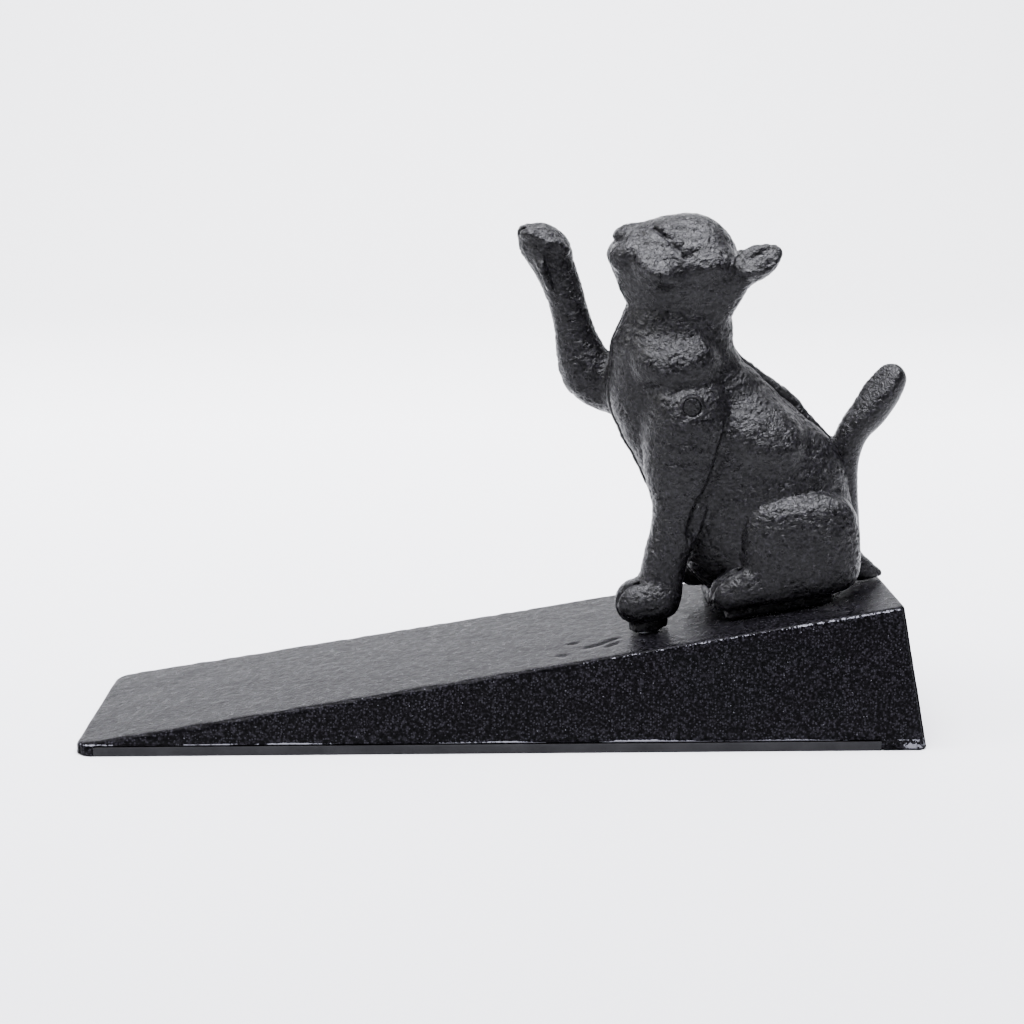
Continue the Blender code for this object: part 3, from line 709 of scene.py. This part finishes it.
def hollow_out(obj):
    """The pockets, screw bosses and screw holes inside the casting."""
    cutters = []
    for start, end in POCKETS:
        bm = bmesh.new()
        bmesh.ops.create_cube(bm, size=2)
        for v in bm.verts:
            x = end if v.co.x > 0 else start
            z = ramp_z(x) - WALL if v.co.z > 0 else -2.0
            y = WIDTH / 2 - WALL - (DRAFT * (z + 2) if v.co.z > 0 else 0)
            v.co = (x * MM, math.copysign(y, v.co.y) * MM, z * MM)
        bmesh.ops.bevel(bm, geom=bm.edges[:], offset=1.2 * MM, segments=3, affect="EDGES", profile=0.5)
        cutters.append((bm, "DIFFERENCE"))
    for (x, y), seat in (((FRONT_SCREW[0], -FRONT_SCREW[1]), FRONT_SEAT), (REAR_SCREW, REAR_SEAT)):
        boss = (BOSS, seat, ramp_z(x - BOSS) - 1.2, "UNION")
        hole = (SCREW_HOLE, seat - 2, HIGH_END + 2, "DIFFERENCE")
        for radius, low, high, kind in (boss, hole):
            bm = bmesh.new()
            middle = Matrix.Translation(Vector((x, y, (low + high) / 2)) * MM)
            bmesh.ops.create_cone(bm, cap_ends=True, segments=48, radius1=radius * MM, radius2=radius * MM,
                                  depth=(high - low) * MM, matrix=middle)
            cutters.append((bm, kind))
    made = []
    for n, (bm, kind) in enumerate(cutters):
        mesh = bpy.data.meshes.new(f"core_{n}")
        bm.to_mesh(mesh)
        bm.free()
        core = bpy.data.objects.new(f"core_{n}", mesh)
        bpy.context.scene.collection.objects.link(core)
        made.append(core)
        step = obj.modifiers.new(core.name, "BOOLEAN")
        step.operation, step.object = kind, core
    bake(obj)
    for core in made:
        bpy.data.objects.remove(core)


def bake(obj):
    """Replaces an object's mesh by what its modifiers make of it."""
    bpy.context.view_layer.update()
    mesh = bpy.data.meshes.new_from_object(obj.evaluated_get(bpy.context.evaluated_depsgraph_get()))
    obj.modifiers.clear()
    obj.data = mesh


def sole():
    """A rubber sheet in the wedge's recess, its edges a little uneven from cutting."""
    thick = SOLE[2] + GAP - 0.03
    long, wide = SOLE[1] - SOLE[0] + 2 * GAP - 0.06, WIDTH - 0.1
    low, top = 0.15, 0.15
    p, quads = lattice(steps(long, SOLE_STEP, top, 2) - long / 2, steps(wide, SOLE_STEP, top, 2) - wide / 2,
                       np.array([0, 0.06, 0.15, thick / 2, thick - 0.15, thick - 0.06, thick]))
    p = soften(p, (long / 2, wide / 2), thick, top, low)
    waver = fields_of_noise(p, 14.0, 3.0) * 0.05 * (p[:, 2] / thick)
    p[:, 1] -= np.sign(p[:, 1]) * np.clip(0.04 + waver + 0.03 * fields_of_noise(p, 3.0, 8.0), 0, 0.2)
    p[:, 0] += (SOLE[0] + SOLE[1]) / 2
    return mesh_object("sole_sheet", p, quads)


def lathe(name, profile, steps_round):
    """A closed solid turned about Y from (radius, y) rows; the first and last are on the axis."""
    angles = np.arange(steps_round) / steps_round * 2 * math.pi
    points, faces = [(0, profile[0][1], 0)], []
    for radius, y in profile[1:-1]:
        points += [(radius * math.cos(a), y, radius * math.sin(a)) for a in angles]
    points.append((0, profile[-1][1], 0))
    rings = len(profile) - 2
    for k in range(steps_round):
        nxt = (k + 1) % steps_round
        faces.append((0, 1 + nxt, 1 + k))
        for r in range(rings - 1):
            a, b = 1 + r * steps_round, 1 + (r + 1) * steps_round
            faces.append((a + k, a + nxt, b + nxt, b + k))
        last = 1 + (rings - 1) * steps_round
        faces.append((last + k, last + nxt, len(points) - 1))
    mesh = bpy.data.meshes.new(name)
    mesh.from_pydata([tuple(c * MM for c in p) for p in points], [], faces)
    mesh.shade_smooth()
    obj = bpy.data.objects.new(name, mesh)
    bpy.context.scene.collection.objects.link(obj)
    return obj


def rivet():
    """A pin with a low hammered head at each end."""
    x, z, half = RIVET
    edge = [(0.4, 0.0), (0.8, 0.01), (1.2, 0.03), (1.45, 0.05), (1.6, 0.08), (RIVET_HEAD, 0.15)]
    edge += [(RIVET_HEAD, 0.9), (RIVET_SHANK, 1.0)]
    rows = [(0, half)] + [(r, half - drop) for r, drop in edge]
    rows += [(RIVET_SHANK, y) for y in np.linspace(half - 1.5, 1.5 - half, 8)]
    rows += [(r, drop - half) for r, drop in edge[::-1]] + [(0, -half)]
    obj = lathe("rivet_pin", rows, 48)
    for v in obj.data.vertices:
        hammered = noise.noise(v.co * 900) * 0.06 * MM
        v.co.y -= math.copysign(abs(hammered), v.co.y) if abs(v.co.y) > (half - 0.5) * MM else 0
        v.co += Vector((x * MM, 0, z * MM))
    return obj


# Materials


class Nodes:
    """Short-hand for building one material's node tree."""

    def __init__(self, name):
        self.material = bpy.data.materials.new(name)
        self.material.use_nodes = True
        self.tree = self.material.node_tree
        self.shader = self.tree.nodes["Principled BSDF"]

    def node(self, kind, inputs=None, **settings):
        made = self.tree.nodes.new(kind)
        for key, value in settings.items():
            setattr(made, key, value)
        for key, value in (inputs or {}).items():
            if isinstance(value, bpy.types.NodeSocket):
                self.tree.links.new(value, made.inputs[key])
            else:
                made.inputs[key].default_value = value
        return made

    def link(self, socket, key):
        self.tree.links.new(socket, self.shader.inputs[key])

    def set(self, **values):
        for key, value in values.items():
            self.shader.inputs[key.replace("_", " ")].default_value = value

    def place(self):
        """Position on the object, in mm."""
        at = self.node("ShaderNodeTexCoord").outputs["Object"]
        return self.node("ShaderNodeVectorMath", {0: at, 3: 1000.0}, operation="SCALE").outputs[0]

    def grain(self, at, pitch, detail=2.0, distortion=0.0, rough=0.5):
        return self.node(
            "ShaderNodeTexNoise",
            {"Vector": at, "Scale": 1.0 / pitch, "Detail": detail, "Distortion": distortion,
             "Roughness": rough},
        ).outputs["Fac"]

    def ramp(self, socket, *stops):
        made = self.node("ShaderNodeValToRGB", {"Fac": socket})
        ends = made.color_ramp.elements
        while len(ends) < len(stops):
            ends.new(0.5)
        for end, (at, value) in zip(ends, stops):
            end.position = at
            end.color = (value, value, value, 1) if isinstance(value, float) else (*value, 1)
        return made.outputs["Color"]

    def math(self, operation, *values):
        return self.node("ShaderNodeMath", dict(enumerate(values)), operation=operation).outputs[0]

    def mix(self, share, a, b):
        return self.node(
            "ShaderNodeMix", {"Factor": share, 6: a, 7: b}, data_type="RGBA"
        ).outputs[2]

    def bump(self, height, depth, strength=1.0, normal=None):
        inputs = {"Height": height, "Distance": depth * MM, "Strength": strength}
        if normal is not None:
            inputs["Normal"] = normal
        return self.node("ShaderNodeBump", inputs).outputs[0]


def enamel(n, at, wrinkle_depth, sand_depth):
    """Black satin enamel over a rough casting, for the shader of n. Returns its colour."""
    n.link(n.ramp(n.grain(at, 1.4, 3.0), (0.3, 0.24), (0.7, 0.38)), "Roughness")
    wrinkle = n.grain(at, 1.1, 3.0, 1.6, 0.55)
    sand = n.grain(at, 0.45, 2.0)
    normal = n.bump(wrinkle, wrinkle_depth)
    normal = n.bump(sand, sand_depth, normal=normal)
    n.link(normal, "Normal")
    return n.ramp(n.grain(at, 0.55, 3.0), (0.36, (0.0005, 0.0005, 0.0006)),
                  (0.52, (0.0018, 0.0017, 0.0021)), (0.70, (0.0110, 0.0102, 0.0128)))


def cat_enamel():
    n = Nodes("cat_enamel")
    n.set(IOR=1.28)
    n.link(enamel(n, n.place(), 0.32, 0.04), "Base Color")
    return n.material


def specks(n, at, pitch, size, share):
    """A mask of small round dots, in that share of the cells of a net."""
    net = n.node("ShaderNodeTexVoronoi", {"Vector": at, "Scale": 1 / pitch})
    chance = n.node("ShaderNodeSeparateColor", {0: net.outputs["Color"]}).outputs[0]
    dot = n.math("LESS_THAN", net.outputs["Distance"], size)
    return n.math("MULTIPLY", dot, n.math("GREATER_THAN", chance, 1 - share))


def wedge_enamel():
    """The same enamel over sand, rubbed through along the edges, with a painted highlight on the top edge
    and painted glints of sand on the sides, and dusty near the floor.
    """
    n = Nodes("wedge_enamel")
    at = n.place()
    n.set(IOR=1.09)
    colour = enamel(n, at, 0.04, 0.08)
    ragged = n.grain(at, 0.9, 4.0, 1.0, 0.7)
    rubbed_and_lit_edge_mask = n.node("ShaderNodeAttribute", attribute_name="rubbed_and_lit_edge").outputs["Fac"]
    lip = n.node("ShaderNodeAttribute", attribute_name="lip").outputs["Fac"]
    dusty = n.node("ShaderNodeAttribute", attribute_name="dusty").outputs["Fac"]
    side = n.node("ShaderNodeAttribute", attribute_name="side").outputs["Fac"]

    def where(mask, more):
        return n.math("GREATER_THAN", n.math("ADD", mask, n.math("MULTIPLY", ragged, more)), 1.0)

    # painted glints: pale dots on the sides stand in for sand grains catching the light, together with the
    # grains' own paler tone
    sand_grain_and_glint_specks = n.math("MULTIPLY", specks(n, at, 0.50, 0.36, 0.45), side)
    colour = n.mix(sand_grain_and_glint_specks, colour, (0.014, 0.0135, 0.0165, 1))
    colour = n.mix(specks(n, at, 0.60, 0.17, 0.03), colour, (0.08, 0.08, 0.09, 1))
    colour = n.mix(n.math("MULTIPLY", where(dusty, 0.95), 0.8), colour, (0.14, 0.14, 0.16, 1))
    colour = n.mix(where(lip, 1.0), colour, (0.15, 0.15, 0.17, 1))
    # painted highlight: the rounded top edge is lightened as if catching the top light, together with rubbed
    # paint
    colour = n.mix(where(rubbed_and_lit_edge_mask, 0.88), colour, (0.15, 0.15, 0.17, 1))
    n.link(colour, "Base Color")
    return n.material


def rubber(name):
    """Black sheet rubber, matt, with a fine moulded grain."""
    n = Nodes(name)
    at = n.place()
    colour = n.ramp(n.grain(at, 6.0, 3.0), (0.3, (0.006, 0.006, 0.007)), (0.7, (0.011, 0.011, 0.012)))
    n.link(colour, "Base Color")
    n.link(n.ramp(n.grain(at, 1.5), (0.3, 0.62), (0.7, 0.82)), "Roughness")
    n.set(IOR=1.25)
    cells = n.node("ShaderNodeTexVoronoi", {"Vector": at, "Scale": 1 / 0.8}).outputs["Distance"]
    n.link(n.bump(n.grain(at, 0.25, 2.0), 0.02, normal=n.bump(cells, 0.06)), "Normal")
    return n.material


def zinc(name):
    """Bright zinc plate with fine turning marks and a little dulling."""
    n = Nodes(name)
    at = n.place()
    colour = n.ramp(n.grain(at, 2.0, 3.0), (0.3, (0.44, 0.45, 0.47)), (0.7, (0.62, 0.63, 0.64)))
    n.link(colour, "Base Color")
    n.link(n.ramp(n.grain(at, 0.5, 3.0), (0.3, 0.24), (0.7, 0.46)), "Roughness")
    n.set(Metallic=1.0)
    n.link(n.bump(n.grain(at, 0.2, 2.0), 0.02), "Normal")
    return n.material


def dress(obj, material, body="root"):
    obj.data.materials.clear()
    obj.data.materials.append(material)
    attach(obj, body)


# Build

ENAMEL = cat_enamel()
left = cat_half("cat_left_skin", left_half(), True)
right = cat_half("cat_right_skin", right_half(), False)
for piece, node in ((left, "cat_left_half"), (right, "cat_right_half")):
    dress(piece, ENAMEL)
    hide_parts(node)

WEDGE_ENAMEL = wedge_enamel()
for piece, node, material, slot in (
    (wedge(), "wedge_body", WEDGE_ENAMEL, "black_iron"),
    (sole(), "rubber_sole", rubber("sole_rubber"), "sole_rubber"),
    (rivet(), "shoulder_rivet", ENAMEL, "zinc_steel"),
):
    dress(piece, material)
    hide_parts(node)
ZINC = zinc("zinc_plate")
for node in ("front_screw", "rear_screw", "front_washer", "rear_washer"):
    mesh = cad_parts[node].data
    mesh.materials.clear()
    mesh.materials.append(ZINC)


# Studio


def stage_floor():
    """Pale paper, swept up behind, with painted shade: darker towards the front, darkest in front of what
    the camera sees.
    """
    n = Nodes("studio_paper")
    n.set(Roughness=0.9)
    y = n.node("ShaderNodeSeparateXYZ", {0: n.place()}).outputs["Y"]
    # painted shade: the paper's colour falls from pale behind to dark in front, standing in for a dim front
    # of the studio
    painted_shade_tone = n.ramp(n.math("MULTIPLY_ADD", y, 0.001, 0.4), (0.05, (0.10, 0.10, 0.10)),
                  (0.26, (0.52, 0.52, 0.53)), (0.75, (0.88, 0.88, 0.89)))
    n.link(painted_shade_tone, "Base Color")
    depth, rise, wide, bend = 0.75, 1.6, 2.4, 0.35  # metres
    profile = [(-1.3, 0.0), (depth, 0.0)]
    profile += [
        (depth + bend * math.sin(a), bend * (1 - math.cos(a)))
        for a in np.linspace(0.1, math.pi / 2, 14)
    ]
    profile.append((depth + bend, rise))
    points = np.array([(side * wide, y, z) for y, z in profile for side in (-1, 1)]) / MM
    faces = [(2 * i, 2 * i + 1, 2 * i + 3, 2 * i + 2) for i in range(len(profile) - 1)]
    floor = mesh_object("studio_floor", points, faces)
    floor.data.materials.append(n.material)


# Studio, in metres: lights as (name, place, aim, size, watts, colour)
SOFTBOXES = (
    ("top_softbox", (0.0, -0.20, 0.95), (0.0, 0.0, 0.03), (0.9, 0.75), 74, (0.93, 0.93, 1.0)),
    ("back_wash", (0.0, 0.45, 0.75), (0.0, 1.0, 0.25), (1.8, 0.4), 17, (1, 1, 1)),
    ("left_softbox", (-0.75, -0.15, 0.70), (0.0, 0.0, 0.06), (0.45, 0.5), 11, (1, 1, 1)),
)
WORLD_COLOUR, WORLD_STRENGTH = (0.9, 0.93, 1.0, 1), 0.15

# Camera, worked out from the wedge's straight edges: focal length, angles and place in mm
FOCAL_LENGTH, FILM_WIDTH = 62.67, 36.0
CAMERA_YAW, CAMERA_PITCH = math.radians(1.27), math.radians(12.56)
CAMERA_AT = (-5.54, -347.74, 120.26)


def area_light(name, at, aim, size, power, colour):
    lamp = bpy.data.lights.new(name, "AREA")
    lamp.shape = "RECTANGLE"
    lamp.size, lamp.size_y = size
    lamp.energy = power
    lamp.color = colour
    obj = bpy.data.objects.new(name, lamp)
    bpy.context.scene.collection.objects.link(obj)
    obj.location = at
    obj.rotation_euler = (Vector(aim) - Vector(at)).to_track_quat("-Z", "Y").to_euler()


def studio():
    stage_floor()
    world = bpy.data.worlds.new("studio")
    bpy.context.scene.world = world
    world.use_nodes = True
    background = world.node_tree.nodes["Background"]
    background.inputs["Color"].default_value = WORLD_COLOUR
    background.inputs["Strength"].default_value = WORLD_STRENGTH
    for softbox in SOFTBOXES:
        area_light(*softbox)


def camera():
    lens = bpy.data.cameras.new("camera")
    lens.lens = FOCAL_LENGTH
    lens.sensor_width = FILM_WIDTH
    obj = bpy.data.objects.new("camera", lens)
    bpy.context.scene.collection.objects.link(obj)
    yaw, pitch = CAMERA_YAW, CAMERA_PITCH
    ahead = Vector((math.sin(yaw) * math.cos(pitch), math.cos(yaw) * math.cos(pitch), -math.sin(pitch)))
    right = Vector((math.cos(yaw), -math.sin(yaw), 0))
    turn = Matrix((right, right.cross(ahead), -ahead)).transposed().to_4x4()
    obj.matrix_world = Matrix.Translation(Vector(CAMERA_AT) * MM) @ turn
    bpy.context.scene.camera = obj


studio()
camera()
